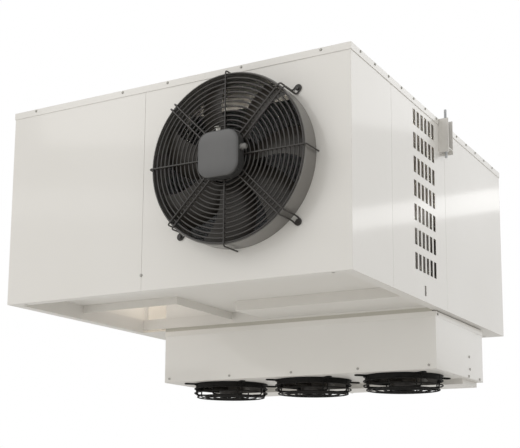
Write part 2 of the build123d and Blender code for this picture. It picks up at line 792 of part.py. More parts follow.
# Fan plate under the evaporator section, with three fan holes and the slot over the drip tray
tray_x = (evaporator_left_x + tray_inset, evaporator_right_x - tray_inset)
tray_y = (front + tray_setback, evaporator_rear - tray_rear_inset)
evap_coil_x = (evaporator_left_x + evaporator_coil_margin, upper_box_x[1] - evaporator_coil_margin)
with BuildPart() as fan_plate:
    block(shell_x, (evaporator_front, evaporator_rear), (-evaporator_drop, plate_top))
    with BuildSketch(Plane.XY.offset(-evaporator_drop)):
        with Locations([(x, small_fan_y) for x in small_fan_x]):
            Circle(small_fan_hole_radius)
        with Locations((middle(evap_coil_x), middle(evap_coil_y))):
            Rectangle(evap_coil_x[1] - evap_coil_x[0] - 2 * tray_hole_margin,
                      evaporator_coil_thickness - 2 * tray_hole_margin)
    extrude(amount=sheet, mode=Mode.SUBTRACT)
finish(fan_plate, "evaporator_fan_plate")

# Drip tray with a spout at its rear
tray_low = -evaporator_drop - tray_depth
spout_plane = Plane(origin=(spout_x, tray_y[1], tray_low + tray_depth / 2), x_dir=(-1, 0, 0), z_dir=(0, 1, 0))
with BuildPart() as drip_tray:
    block(tray_x, tray_y, (tray_low, -evaporator_drop))
    block((tray_x[0] + sheet, tray_x[1] - sheet), (tray_y[0] + sheet, tray_y[1] - sheet),
          (tray_low + sheet, -evaporator_drop), mode=Mode.SUBTRACT)
    with BuildSketch(spout_plane):
        Circle(spout_radius)
    extrude(amount=spout_reach)
    with BuildSketch(spout_plane.offset(spout_reach)):
        Circle(spout_bore)
    extrude(amount=-spout_reach - sheet, mode=Mode.SUBTRACT)
finish(drip_tray, "drip_tray")

# Evaporator coil standing on the fan plate over the tray slot
coil_top = upper_box_top - upper_box_wall - evaporator_coil_headroom
with BuildPart() as evaporator_coil:
    block(evap_coil_x, evap_coil_y, (plate_top, coil_top))
finish(evaporator_coil, "evaporator_coil")



def pipe(points, radius):
    # a round tube along straight runs with rounded corners
    with BuildLine() as route:
        FilletPolyline(*points, radius=line_bend)
    start = Vector(*points[0])
    with BuildSketch(Plane(origin=start, z_dir=Vector(*points[1]) - start)) as end:
        Circle(radius)
    sweep(end.sketch, path=route.line)


# Refrigerant lines: compressor to condenser, evaporator to compressor, condenser to receiver to evaporator
compressor_top = compressor_base + compressor_height
receiver_top = sump_top + receiver_height
receiver_flat = receiver_radius * cos(radians(180 / pot_sides))
over_box = upper_box_top + line_over_box
with BuildPart() as discharge_line:
    discharge_x = compressor_x - line_spacing / 2
    pipe([(discharge_x, machine_y, compressor_top), (discharge_x, machine_y, over_box + line_crossing),
          (discharge_x, coil_y[1], over_box + line_crossing)], line_radius)
finish(discharge_line, "discharge_line")

with BuildPart() as suction_line:
    pipe([(suction_x, machine_y, compressor_top), (suction_x, machine_y, over_box),
          (suction_x, middle(evap_coil_y), over_box), (suction_x, middle(evap_coil_y), coil_top)], line_radius)
finish(suction_line, "suction_line")

with BuildPart() as liquid_line:
    pipe([(liquid_x, machine_y, receiver_top), (liquid_x, machine_y, over_box),
          (liquid_x, middle(evap_coil_y), over_box), (liquid_x, middle(evap_coil_y), coil_top)], liquid_line_radius)
    with BuildSketch(Plane(origin=(receiver_x, coil_y[1], receiver_inlet_height), z_dir=(0, 1, 0))):
        Circle(liquid_line_radius)
    extrude(amount=machine_y - receiver_flat - coil_y[1])
finish(liquid_line, "liquid_line")

# Screws of the evaporator section: a row at the foot of its front, and the ones on its sides
with BuildPart() as evaporator_screws:
    front_screw_z = front_screw_rise - evaporator_drop
    section_heads = [Plane(origin=(x, evaporator_front, front_screw_z), z_dir=(0, -1, 0)) for x in front_screw_x]
    for side_x, normal in ((evaporator_left_x, (-1, 0, 0)), (evaporator_right_x, (1, 0, 0))):
        for setback, rise in side_screws:
            section_heads.append(Plane(origin=(side_x, front + setback, rise - evaporator_drop), z_dir=normal))
        section_heads.append(Plane(
            origin=(side_x + normal[0] * band_proud, evaporator_front + band_screw_inset,
                    shell_top - band_height / 2), z_dir=normal))
    hexagon_heads(section_heads)
finish(evaporator_screws, "evaporator_screws")

# Motors, guards and rotors of the three evaporator fans
basket_low = -evaporator_drop - basket_depth
for number, x in enumerate(small_fan_x, start=1):
    centre = Plane(origin=(x, small_fan_y, 0))
    face_step = (basket_face_radius - basket_inner_radius) / (basket_ring_count - 1)

    with BuildPart() as basket_rings:
        with BuildSketch(centre.offset(basket_low)):
            for ring in reversed(range(basket_ring_count)):
                radius = basket_inner_radius + ring * face_step
                sides = ring_sides(radius, basket_radius)
                RegularPolygon(radius + basket_wire / 2, sides)
                RegularPolygon(radius - basket_wire / 2, sides, mode=Mode.SUBTRACT)
        extrude(amount=basket_wire)
        for height in basket_side_rings:
            with BuildSketch(centre.offset(basket_low + height)):
                RegularPolygon(basket_radius, basket_rim_sides)
                RegularPolygon(basket_radius - basket_wire, basket_rim_sides, mode=Mode.SUBTRACT)
            extrude(amount=basket_wire)

    spoke = basket_radius - basket_wire - basket_inner_radius + basket_wire / 2
    spoke_at = basket_inner_radius - basket_wire / 2 + spoke / 2
    upright_at = basket_radius - basket_wire * 3 / 2
    with BuildPart() as basket_frame:
        with BuildSketch(centre.offset(basket_low + basket_wire)):
            with PolarLocations(spoke_at, 4):
                Rectangle(spoke, basket_wire)
            with PolarLocations(spoke_at, 4, start_angle=45):
                with GridLocations(0, basket_foot_gap, 1, 2):
                    Rectangle(spoke, basket_wire)
        extrude(amount=basket_wire)
        with BuildSketch(centre.offset(basket_low + basket_wire)):
            with PolarLocations(upright_at, 4):
                Rectangle(basket_wire, basket_wire)
            with PolarLocations(upright_at, 4, start_angle=45):
                with GridLocations(0, basket_foot_gap, 1, 2):
                    Rectangle(basket_wire, basket_wire)
        extrude(amount=basket_depth - basket_wire)
        foot_outer = basket_foot_reach + basket_foot_length / 2
        with BuildSketch(centre.offset(-evaporator_drop - basket_wire)):
            with PolarLocations((upright_at + foot_outer) / 2, 4, start_angle=45):
                Rectangle(foot_outer - upright_at + basket_wire, basket_foot_gap + basket_wire)
                Rectangle(foot_outer - upright_at - basket_wire, basket_foot_gap - basket_wire, mode=Mode.SUBTRACT)
        extrude(amount=basket_wire)

    basket = Compound(basket_rings.part.solids() + basket_frame.part.solids(), label=f"evaporator_fan_guard_{number}")
    export_step(basket, f"parts/evaporator_fan_guard_{number}.step")

    stator_low = basket_low + 2 * basket_wire
    with BuildPart() as motor:
        with BuildSketch(centre.offset(stator_low)):
            RegularPolygon(small_stator_radius, 24)
        extrude(amount=small_stator_height)
        with BuildSketch(centre.offset(stator_low + small_stator_height)):
            Circle(small_shaft_radius)
        extrude(amount=small_shaft_rise)
    finish(motor, f"evaporator_fan_motor_{number}")

    cup_low = stator_low + small_shell_lift
    cup_top = cup_low + small_shell_height
    cup_inner = small_stator_radius + small_shell_gap
    cup_outer = cup_inner + small_shell_wall
    with BuildPart() as rotor:
        with BuildSketch(centre.offset(cup_low)):
            RegularPolygon(cup_outer, small_shell_flats)
        extrude(amount=small_shell_height)
        rotor_centre = Vector(x, small_fan_y, cup_low + small_blade_lift)
        blades(small_blade_count, rotor_centre, Vector(0, 0, 1), cup_outer - blade_sink,
               small_fan_hole_radius - small_tip_gap, small_blade_chord, small_blade_pitch,
               small_blade_camber, small_blade_thickness)
        with BuildSketch(centre.offset(cup_low)):
            Circle(cup_inner)
        extrude(amount=small_shell_height - small_shell_wall, mode=Mode.SUBTRACT)
        with BuildSketch(centre.offset(cup_top - small_shell_wall)):
            Circle(small_shaft_radius + shaft_clearance)
        extrude(amount=small_shell_wall, mode=Mode.SUBTRACT)
    finish(rotor, f"evaporator_fan_rotor_{number}")
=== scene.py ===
import bpy
import bmesh
import json
import math
from mathutils import Matrix, Vector


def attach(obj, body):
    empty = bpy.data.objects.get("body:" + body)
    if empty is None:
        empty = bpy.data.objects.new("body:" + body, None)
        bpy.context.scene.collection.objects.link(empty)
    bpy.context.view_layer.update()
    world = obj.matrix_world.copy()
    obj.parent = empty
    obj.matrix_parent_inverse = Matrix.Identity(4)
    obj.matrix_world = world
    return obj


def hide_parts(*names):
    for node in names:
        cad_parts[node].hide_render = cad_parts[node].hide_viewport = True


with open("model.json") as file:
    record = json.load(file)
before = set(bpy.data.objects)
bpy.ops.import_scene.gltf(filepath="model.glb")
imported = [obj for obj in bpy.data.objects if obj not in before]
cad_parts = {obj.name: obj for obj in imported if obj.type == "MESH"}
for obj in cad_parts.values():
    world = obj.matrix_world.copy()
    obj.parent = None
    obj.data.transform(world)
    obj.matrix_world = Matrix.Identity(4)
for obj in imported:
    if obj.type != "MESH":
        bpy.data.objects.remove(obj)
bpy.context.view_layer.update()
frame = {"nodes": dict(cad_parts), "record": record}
nodes = frame["nodes"]
mm = 0.001


# Shader maths

class Link:
    # one output socket; sums on it add Math nodes
    def __init__(self, finish, socket):
        self.finish = finish
        self.socket = socket

    def sum(self, operation, first, second):
        return self.finish.node("ShaderNodeMath", {"operation": operation}, {0: first, 1: second})

    def __add__(self, other):
        return self.sum("ADD", self, other)

    __radd__ = __add__

    def __sub__(self, other):
        return self.sum("SUBTRACT", self, other)

    def __rsub__(self, other):
        return self.sum("SUBTRACT", other, self)

    def __mul__(self, other):
        return self.sum("MULTIPLY", self, other)

    __rmul__ = __mul__


class Finish:
    # a material, its one surface shader, and the only way that nodes are added to it
    def __init__(self, name, **fixed):
        self.material = bpy.data.materials.new(name)
        self.material.use_nodes = True
        self.tree = self.material.node_tree
        self.surface = self.tree.nodes["Principled BSDF"]
        self.place = self.node("ShaderNodeTexCoord", out="Object")
        for socketName, value in fixed.items():
            self.surface.inputs[socketName.replace("_", " ")].default_value = value

    def node(self, kind, settings=None, sockets=None, out=0):
        made = self.tree.nodes.new(kind)
        for key, value in (settings or {}).items():
            if key == "stops":
                for stop, (position, colour) in zip(made.color_ramp.elements, value):
                    stop.position = position
                    stop.color = colour
            else:
                setattr(made, key, value)
        for key, value in (sockets or {}).items():
            self.feed(made.inputs[key], value)
        return Link(self, made.outputs[out])

    def feed(self, socket, value):
        if isinstance(value, Link):
            self.tree.links.new(value.socket, socket)
        else:
            socket.default_value = value

    def noise(self, scale, detail=2.0, stretch=None):
        place = self.place
        if stretch:
            place = self.node("ShaderNodeVectorMath", {"operation": "MULTIPLY"}, {0: place, 1: stretch})
        return self.node("ShaderNodeTexNoise", None, {"Vector": place, "Scale": scale, "Detail": detail})

    def spread(self, value, low, high, start=0.0, end=1.0):
        # the value between low and high, spread over start to end
        sockets = {"Value": value, "From Min": low, "From Max": high, "To Min": start, "To Max": end}
        return self.node("ShaderNodeMapRange", None, sockets)

    def blend(self, factor, first, second):
        return self.node("ShaderNodeMix", {"data_type": "RGBA"}, {0: factor, 6: first, 7: second}, out=2)

    def colour(self, value):
        self.feed(self.surface.inputs["Base Color"], value)

    def rough(self, value):
        self.feed(self.surface.inputs["Roughness"], value)

    def bump(self, height, strength, distance):
        sockets = {"Height": height, "Strength": strength, "Distance": distance}
        self.feed(self.surface.inputs["Normal"], self.node("ShaderNodeBump", None, sockets))


def rgb(red, green, blue):
    return (red, green, blue, 1.0)


def powderCoat(name, tone):
    # baked powder: fine orange peel, a slow drift of the tone and a few specks of dust
    coat = Finish(name, Coat_Roughness=tone["clearRough"], Specular_IOR_Level=tone["shine"])
    drift = coat.spread(coat.noise(1.7, 3), 0.35, 0.65)
    peel = coat.noise(tone["peelScale"], 2)
    speck = coat.spread(coat.noise(tone["peelScale"] * 0.31, 4), 0.62, 0.72)
    base = coat.blend(drift, tone["colour"], tone["drift"])
    coat.colour(coat.blend(speck * tone["speck"], base, tone["dust"]))
    coat.rough(tone["rough"] + (drift - 0.5) * 0.06 + (peel - 0.5) * 0.05)
    coat.bump(peel, tone["peel"], 0.0003)
    coat.surface.inputs["Coat Weight"].default_value = tone["clear"]
    return coat.material


paintTones = {
    "casing": dict(colour=rgb(0.800, 0.783, 0.748), drift=rgb(0.780, 0.762, 0.724),
                   dust=rgb(0.70, 0.68, 0.63), rough=0.38, peelScale=620, peel=0.05, speck=0.08,
                   shine=0.5, clear=0.65, clearRough=0.08),
    "frame": dict(colour=rgb(0.735, 0.716, 0.680), drift=rgb(0.715, 0.694, 0.655),
                  dust=rgb(0.62, 0.60, 0.55), rough=0.42, peelScale=560, peel=0.12, speck=0.14,
                  shine=0.45, clear=0.10, clearRough=0.25),
    "guard": dict(colour=rgb(0.022, 0.019, 0.016), drift=rgb(0.030, 0.026, 0.022),
                  dust=rgb(0.09, 0.08, 0.07), rough=0.34, peelScale=900, peel=0.12, speck=0.18,
                  shine=0.5, clear=0.2, clearRough=0.2),
    # the nozzle ring is painted in the guard's black; this dark grey is a painted reflection of the white
    # panel
    "nozzle": dict(colour=rgb(0.135, 0.127, 0.116), drift=rgb(0.175, 0.165, 0.151),
                   dust=rgb(0.14, 0.13, 0.12), rough=0.34, peelScale=500, peel=0.08, speck=0.15,
                   shine=0.6, clear=0.5, clearRough=0.2),
    "band": dict(colour=rgb(0.010, 0.010, 0.009), drift=rgb(0.014, 0.013, 0.012),
                 dust=rgb(0.05, 0.05, 0.045), rough=0.62, peelScale=700, peel=0.1, speck=0.1,
                 shine=0.15, clear=0.0, clearRough=0.3),
    "machine": dict(colour=rgb(0.020, 0.020, 0.022), drift=rgb(0.028, 0.028, 0.030),
                    dust=rgb(0.08, 0.08, 0.075), rough=0.33, peelScale=420, peel=0.15, speck=0.2,
                    shine=0.5, clear=0.3, clearRough=0.2),
}


def castBlack(name):
    # painted die casting: coarse skin, rubbed lighter in patches
    cast = Finish(name, Specular_IOR_Level=0.45)
    skin = cast.noise(420, 4)
    rubbed = cast.spread(cast.noise(55, 5), 0.58, 0.74)
    cast.colour(cast.blend(rubbed * 0.35, rgb(0.030, 0.029, 0.028), rgb(0.085, 0.082, 0.078)))
    cast.rough(0.46 + (skin - 0.5) * 0.2)
    cast.bump(skin, 0.3, 0.0004)
    return cast.material


def bladeSheet(name):
    # satin dark sheet with faint streaks of handling
    sheet = Finish(name, Specular_IOR_Level=0.5)
    sweep = sheet.noise(14, 4, (1.0, 1.0, 7.0))
    fine = sheet.noise(700, 2)
    marks = sheet.spread(sweep, 0.3, 0.7)
    sheet.colour(sheet.blend(marks, rgb(0.034, 0.029, 0.024), rgb(0.055, 0.048, 0.040)))
    sheet.rough(0.33 + (sweep - 0.5) * 0.12)
    sheet.bump(fine, 0.12, 0.0002)
    return sheet.material


def mouldedPlastic(name, tone):
    # spark-eroded mould texture with a soft flow pattern
    plastic = Finish(name, Specular_IOR_Level=tone["shine"])
    grain = plastic.noise(1400, 1)
    flow = plastic.noise(22, 3, (1.0, 1.0, 0.4))
    plastic.colour(plastic.blend(plastic.spread(flow, 0.3, 0.7), tone["colour"], tone["flow"]))
    plastic.rough(tone["rough"] + (grain - 0.5) * 0.12)
    plastic.bump(grain, tone["grain"], 0.0002)
    return plastic.material


plasticTones = {
    "box": dict(colour=rgb(0.050, 0.049, 0.048), flow=rgb(0.062, 0.061, 0.059),
                rough=0.36, grain=0.15, shine=0.8),
    "gland": dict(colour=rgb(0.15, 0.145, 0.137), flow=rgb(0.18, 0.175, 0.166),
                  rough=0.3, grain=0.1, shine=0.7),
}


def galvanised(name, tone):
    # zinc spangle: flat crystals of slightly different brightness and gloss
    zinc = Finish(name, Metallic=1.0)
    crystals = zinc.node("ShaderNodeTexVoronoi", {"feature": "F1"},
                         {"Vector": zinc.place, "Scale": 130.0}, out="Color")
    shade = zinc.node("ShaderNodeSeparateColor", None, {0: crystals})
    cloud = zinc.noise(9, 3)
    zinc.colour(zinc.blend(shade * 0.6 + cloud * 0.4, tone["dark"], tone["bright"]))
    zinc.rough(tone["rough"] + shade * 0.14 + (cloud - 0.5) * 0.1)
    zinc.bump(cloud, 0.05, 0.0004)
    return zinc.material


zincTones = {
    "sheet": dict(dark=rgb(0.50, 0.51, 0.52), bright=rgb(0.66, 0.67, 0.68), rough=0.30),
    "screw": dict(dark=rgb(0.36, 0.35, 0.32), bright=rgb(0.46, 0.45, 0.42), rough=0.45),
}


def foam(name):
    # closed-cell foam and rubber: small pores, dry surface
    soft = Finish(name, Specular_IOR_Level=0.25)
    pores = soft.node("ShaderNodeTexVoronoi", {"feature": "F1"}, {"Vector": soft.place, "Scale": 520.0})
    soft.colour(soft.blend(soft.spread(pores, 0.0, 0.6), rgb(0.46, 0.44, 0.385), rgb(0.56, 0.54, 0.48)))
    soft.rough(0.82 + pores * 0.1)
    soft.bump(pores, 0.35, 0.0005)
    return soft.material


def copperTube(name):
    # drawn copper, browned in patches
    tube = Finish(name, Metallic=1.0)
    brown = tube.spread(tube.noise(26, 4), 0.42, 0.68)
    drawn = tube.noise(900, 1, (1.0, 1.0, 0.1))
    tube.colour(tube.blend(brown, rgb(0.78, 0.43, 0.27), rgb(0.42, 0.21, 0.12)))
    tube.rough(0.26 + brown * 0.2 + (drawn - 0.5) * 0.1)
    tube.bump(drawn, 0.08, 0.0002)
    return tube.material


def finPack(name, pitch):
    # thin upright fins: painted shade in the slits between their bright edges, bent a little here and there
    pack = Finish(name, Metallic=0.7)
    bent = pack.noise(35, 2)
    swayed = pack.node("ShaderNodeCombineXYZ", None, {"X": (bent - 0.5) * 0.0016})
    place = pack.node("ShaderNodeVectorMath", {"operation": "ADD"}, {0: pack.place, 1: swayed})
    slits = pack.node("ShaderNodeTexWave", {"wave_type": "BANDS", "bands_direction": "X"},
                      {"Vector": place, "Scale": math.pi / (10 * pitch), "Distortion": 0.0}, out="Fac")
    # the dark tone is painted shade down between the fins; the bright tone is the fins' own metal
    pack.colour(pack.blend(slits, rgb(0.10, 0.10, 0.10), rgb(0.62, 0.63, 0.64)))
    pack.rough(0.34 + (1.0 - slits) * 0.3)
    pack.bump(slits, 0.6, 0.001)
    return pack.material


finishes = {
    "casing_paint": powderCoat("casingPaint", paintTones["casing"]),
    "frame_paint": powderCoat("framePaint", paintTones["frame"]),
    "guard_black": powderCoat("guardBlack", paintTones["guard"]),
    "machine_black": powderCoat("machineEnamel", paintTones["machine"]),
    "motor_black": castBlack("motorCasting"),
    "blade_black": bladeSheet("bladeSheet"),
    "box_grey": mouldedPlastic("boxPlastic", plasticTones["box"]),
    "gland_grey": mouldedPlastic("glandPlastic", plasticTones["gland"]),
    "galvanised": galvanised("zincSpangle", zincTones["sheet"]),
    "foam_dark": foam("foamSeal"),
    "copper": copperTube("copperTube"),
    "coil_fins": finPack("finPack", 0.0025),
}
# the nozzle's grey tone is a painted reflection of the white panel on black paint
nozzlePaintedReflection = powderCoat("nozzlePaintedReflection", paintTones["nozzle"])
bandPaint = powderCoat("bandPaint", paintTones["band"])
dullZinc = galvanised("screwZinc", zincTones["screw"])
print("materials:", len(finishes) + 3)


# Nodes carried over from the solids

slotOf = {part["node"]: part["material_slot"] for part in frame["record"]["subparts"]}
for name, node in nodes.items():
    node.data.materials.clear()
    node.data.materials.append(dullZinc if name == "evaporator_screws" else finishes[slotOf[name]])
print("nodes dressed:", len(nodes))


# Tools for making pieces

def place(piece, body, slot, replaced=()):
    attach(piece, body)
    if replaced:
        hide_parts(*replaced)
    return piece


def solid(name, bm, material, body, slot, replaced=(), smooth=35):
    # turns a bmesh into a piece with its sharp edges kept and the rest shaded smooth
    bmesh.ops.recalc_face_normals(bm, faces=bm.faces)
    mesh = bpy.data.meshes.new(name)
    bm.to_mesh(mesh)
    bm.free()
    mesh.materials.append(material)
    mesh.polygons.foreach_set("use_smooth", [True] * len(mesh.polygons))
    mesh.set_sharp_from_angle(angle=math.radians(smooth))
    piece = bpy.data.objects.new(name, mesh)
    bpy.context.scene.collection.objects.link(piece)
    return place(piece, body, slot, replaced)


def wires(name, paths, thickness, material, body, slot, replaced=()):
    # round wires along paths of (points, closed)
    curve = bpy.data.curves.new(name, "CURVE")
    curve.dimensions = "3D"
    curve.bevel_depth = thickness / 2
    curve.bevel_resolution = 3
    curve.use_fill_caps = True
    for points, closed in paths:
        spline = curve.splines.new("POLY")
        spline.points.add(len(points) - 1)
        for target, point in zip(spline.points, points):
            target.co = (*point, 1.0)
        spline.use_cyclic_u = closed
    curve.materials.append(material)
    piece = bpy.data.objects.new(name, curve)
    bpy.context.scene.collection.objects.link(piece)
    return place(piece, body, slot, replaced)


def bent(corners, radius, steps=5):
    # a path with its corners rounded, as a wire is bent
    path = [corners[0]]
    for before, corner, after in zip(corners, corners[1:], corners[2:]):
        toBefore, toAfter = (before - corner), (after - corner)
        reach = min(radius, toBefore.length * 0.49, toAfter.length * 0.49)
        start = corner + toBefore.normalized() * reach
        end = corner + toAfter.normalized() * reach
        for step in range(steps + 1):
            t = step / steps
            path.append(start * (1 - t) ** 2 + corner * 2 * t * (1 - t) + end * t * t)
    path.append(corners[-1])
    return path


def looped(point, reach, half, bend, steps):
    # a doubled wire out along its reach of (radius, depth), round its foot and back, half to each side
    foot, low = reach[-1]
    turns = [math.pi * step / steps for step in range(1, steps)]
    near = [point(radius, depth, half) for radius, depth in reach]
    loop = [point(foot + half * math.sin(turn), low, half * math.cos(turn)) for turn in turns]
    far = [point(radius, depth, -half) for radius, depth in reversed(reach)]
    return bent(near, bend) + loop + bent(far, bend)


def scaled(profile):
    # a profile in millimetres as metres
    return [(radius * mm, height * mm) for radius, height in profile]


def lathe(bm, profile, centre, axis, segments=72, closed=False, sides=0):
    # turns a profile of (radius, height) round an axis; with sides it is a prism of that many flats
    axis = Vector(axis).normalized()
    side = axis.orthogonal().normalized()
    up = axis.cross(side)
    count = sides or segments
    rings = []
    for radius, height in profile:
        middle = Vector(centre) + axis * height
        if radius < 1e-7:
            rings.append([bm.verts.new(middle)])
            continue
        turns = [2 * math.pi * number / count for number in range(count)]
        rim = [middle + (side * math.cos(t) + up * math.sin(t)) * radius for t in turns]
        rings.append([bm.verts.new(point) for point in rim])
    joined = list(zip(rings, rings[1:]))
    if closed:
        joined.append((rings[-1], rings[0]))
    for low, high in joined:
        for number in range(count):
            follow = (number + 1) % count
            corners = [low[number % len(low)], low[follow % len(low)],
                       high[follow % len(high)], high[number % len(high)]]
            corners = list(dict.fromkeys(corners))
            if len(corners) > 2:
                bm.faces.new(corners)


def skin(bm, loops):
    # a surface through loops of equal length, closed at both ends
    rows = [[bm.verts.new(point) for point in loop] for loop in loops]
    for low, high in zip(rows, rows[1:]):
        for number in range(len(low)):
            follow = (number + 1) % len(low)
            bm.faces.new((low[number], low[follow], high[follow], high[number]))
    bm.faces.new(rows[0])
    bm.faces.new(rows[-1])


def roundedOutline(width, height, corner, steps=8):
    # points of a rectangle with rounded corners, round its middle
    points = []
    for quarter, (sx, sz) in enumerate(((1, 1), (-1, 1), (-1, -1), (1, -1))):
        for step in range(steps + 1):
            angle = math.pi / 2 * (quarter + step / steps)
            points.append((sx * (width / 2 - corner) + corner * math.cos(angle),
                           sz * (height / 2 - corner) + corner * math.sin(angle)))
    return points


def screws(name, places, size, material, body, slot, replaced=()):
    # flanged hexagon heads with a dished top, each on (point, normal)
    bm = bmesh.new()
    radius, height = size["radius"] * mm, size["height"] * mm
    for point, normal in places:
        lathe(bm, [(0, 0), (radius, 0), (radius, height * 0.16), (radius * 0.9, height * 0.3),
                   (0, height * 0.3)], point, normal, segments=20)
        lathe(bm, [(0, 0), (radius * 0.74, 0), (radius * 0.74, height * 0.88), (radius * 0.64, height),
                   (radius * 0.4, height), (radius * 0.3, height * 0.86), (0, height * 0.82)],
              point, normal, sides=6)
    return solid(name, bm, material, body, slot, replaced)


# Softened sheet metal

softened = {"width": 0.45 * mm, "angle": math.radians(40)}


def soften(name):
    # a copy of a sheet piece, with its sharp edges eased, that stands for the node
    bm = bmesh.new()
    bm.from_mesh(nodes[name].data)
    bmesh.ops.remove_doubles(bm, verts=bm.verts, dist=1e-6)
    bmesh.ops.dissolve_limit(bm, angle_limit=math.radians(0.5), verts=bm.verts, edges=bm.edges)
    slot = slotOf[name]
    piece = solid(name + ".sheet", bm, finishes[slot], "housing", slot, [name], smooth=50)
    ease = piece.modifiers.new("easedEdges", "BEVEL")
    ease.width = softened["width"]
    ease.segments = 2
    ease.limit_method = "ANGLE"
    ease.angle_limit = softened["angle"]
    ease.harden_normals = True
    return piece


sheetPieces = ["lid", "front_left_panel", "front_panel", "rear_panel", "evaporator_shell",
               "evaporator_fan_plate", "drip_tray", "hanger_bracket_left", "hanger_bracket_right",
               "intake_collar", "sump_tray"]
sheetPieces += [f"{side}_{part}_panel" for side in ("left", "right")
                for part in ("front", "middle", "rear")]
for name in sheetPieces:
    soften(name)
print("sheet pieces:", len(sheetPieces))


# Condenser fan

fan = {
    "x": 234, "y": -640.2, "z": 320,          # middle of the fan on the front panel
    "ringOuter": 233, "ringInner": 230, "ringReach": 64, "rimRoll": 2.0,
    "wire": 4.5, "rings": 15, "innerRing": 50, "outerRing": 230, "ringDepth": 67.7, "spokeDepth": 72.2,
    "legRadius": 240, "pairGap": 17, "footRadius": 256, "footDepth": 2.3, "bend": 9,
    "footScrew": {"radius": 7.2, "height": 5}, "footScrewDepth": 3.2, "footShank": 5,
    "statorRadius": 62, "statorFront": 65.5, "statorLength": 46, "shaftRadius": 7.5, "shaftLength": 50,
    "grooves": 5, "groovePitch": 7, "grooveDepth": 3.5,
    "cupInner": 68, "cupOuter": 72, "cupFront": 61.5, "cupLength": 92,
    "blades": 7, "tipRadius": 225, "rootChord": 92, "tipChord": 118, "rootPitch": 38, "tipPitch": 24,
    "camber": 0.085, "bladeThickness": 2.6, "sweep": -14,
}
fanMiddle = Vector((fan["x"], fan["y"], fan["z"])) * mm
outOfPanel = Vector((0, -1, 0))
singleSpokes = (0, 90, 180, 270)
doubledSpokes = (45, 135, 225, 315)


def onFan(radius, degrees, depth, aside=0.0):
    # a point by its radius, its angle seen from the front, its distance out of the panel and its
    # offset to the side
    angle = math.radians(degrees)
    across = Vector((math.cos(angle), 0, math.sin(angle)))
    along = Vector((-math.sin(angle), 0, math.cos(angle)))
    return fanMiddle + (across * radius + along * aside + outOfPanel * depth) * mm


def circle(radius, depth, count=120):
    return [onFan(radius, 360 * number / count, depth) for number in range(count)]


def nozzleRing():
    # rolled cylinder with a turned-over rim
    inner, outer, reach, roll = fan["ringInner"], fan["ringOuter"], fan["ringReach"], fan["rimRoll"]
    profile = [(inner, -1.5), (outer, -1.5), (outer, reach - 5)]
    for step in range(9):
        angle = math.pi * step / 8
        profile.append((inner + 2.5 + (roll + 0.5) * math.cos(angle), reach - 2.6 + 2.5 * math.sin(angle)))
    profile.append((inner, reach - 5))
    bm = bmesh.new()
    lathe(bm, scaled(profile), fanMiddle, outOfPanel, 160, closed=True)
    return solid("fanNozzleRing", bm, nozzlePaintedReflection, "housing", "guard_black", ["fan_ring"])


def guardWires():
    # rings, four single spokes bent back to the panel, and four wires bent double round the fixing screws
    paths = []
    step = (fan["outerRing"] - fan["innerRing"]) / (fan["rings"] - 1)
    for number in range(fan["rings"]):
        paths.append((circle(fan["innerRing"] + number * step, fan["ringDepth"]), True))
    hub = fan["innerRing"] - 2
    high, low = fan["spokeDepth"], fan["footDepth"]
    leg, foot = fan["legRadius"], fan["footRadius"]
    bend = fan["bend"] * mm
    for degrees in singleSpokes:
        corners = [onFan(hub, degrees, high), onFan(leg, degrees, high), onFan(leg, degrees, 0.5)]
        paths.append((bent(corners, bend), False))
    for degrees in doubledSpokes:
        reach = [(hub, high), (leg, high), (leg, low), (foot, low)]
        wire = looped(lambda radius, depth, aside: onFan(radius, degrees, depth, aside), reach,
                      fan["pairGap"] / 2, bend, 12)
        paths.append((wire, False))
    return wires("fanGuardWires", paths, fan["wire"] * mm, finishes["guard_black"], "housing",
                 "guard_black", ["fan_guard"])


def guardScrews():
    # washer-faced screws inside the doubled wires
    depth, shank = fan["footScrewDepth"], fan["footShank"]
    places = [(onFan(fan["footRadius"] - 0.5, degrees, depth), outOfPanel) for degrees in doubledSpokes]
    screws("guardFootScrews", places, fan["footScrew"], finishes["guard_black"], "housing",
           "guard_black", ["guard_screws"])
    bm = bmesh.new()
    for point, normal in places:
        lathe(bm, scaled([(0, -depth), (shank, -depth), (shank, 0.1), (0, 0.1)]), point, normal, 20)
    solid("guardFootShanks", bm, finishes["galvanised"], "housing", "galvanised")


def fanMotor():
    # stator with a finned rim and a stepped front, and the shaft behind it
    radius, front, length = fan["statorRadius"], fan["statorFront"], fan["statorLength"]
    back = front - length
    shaft, shaftEnd = fan["shaftRadius"], back - fan["shaftLength"]
    profile = [(0, front), (26, front), (27, front - 1.5), (50, front - 1.5), (52, front),
               (radius - 3, front), (radius, front - 3)]
    core = radius - fan["grooveDepth"]
    for number in range(fan["grooves"]):
        top = front - 8 - number * fan["groovePitch"]
        profile += [(radius, top), (core, top - 1), (core, top - 3), (radius, top - 4)]
    profile += [(radius, back), (shaft, back), (shaft, shaftEnd), (0, shaftEnd)]
    bm = bmesh.new()
    lathe(bm, scaled(profile), fanMiddle, outOfPanel, 96)
    return solid("fanMotorStator", bm, finishes["motor_black"], "housing", "motor_black", ["fan_motor"])


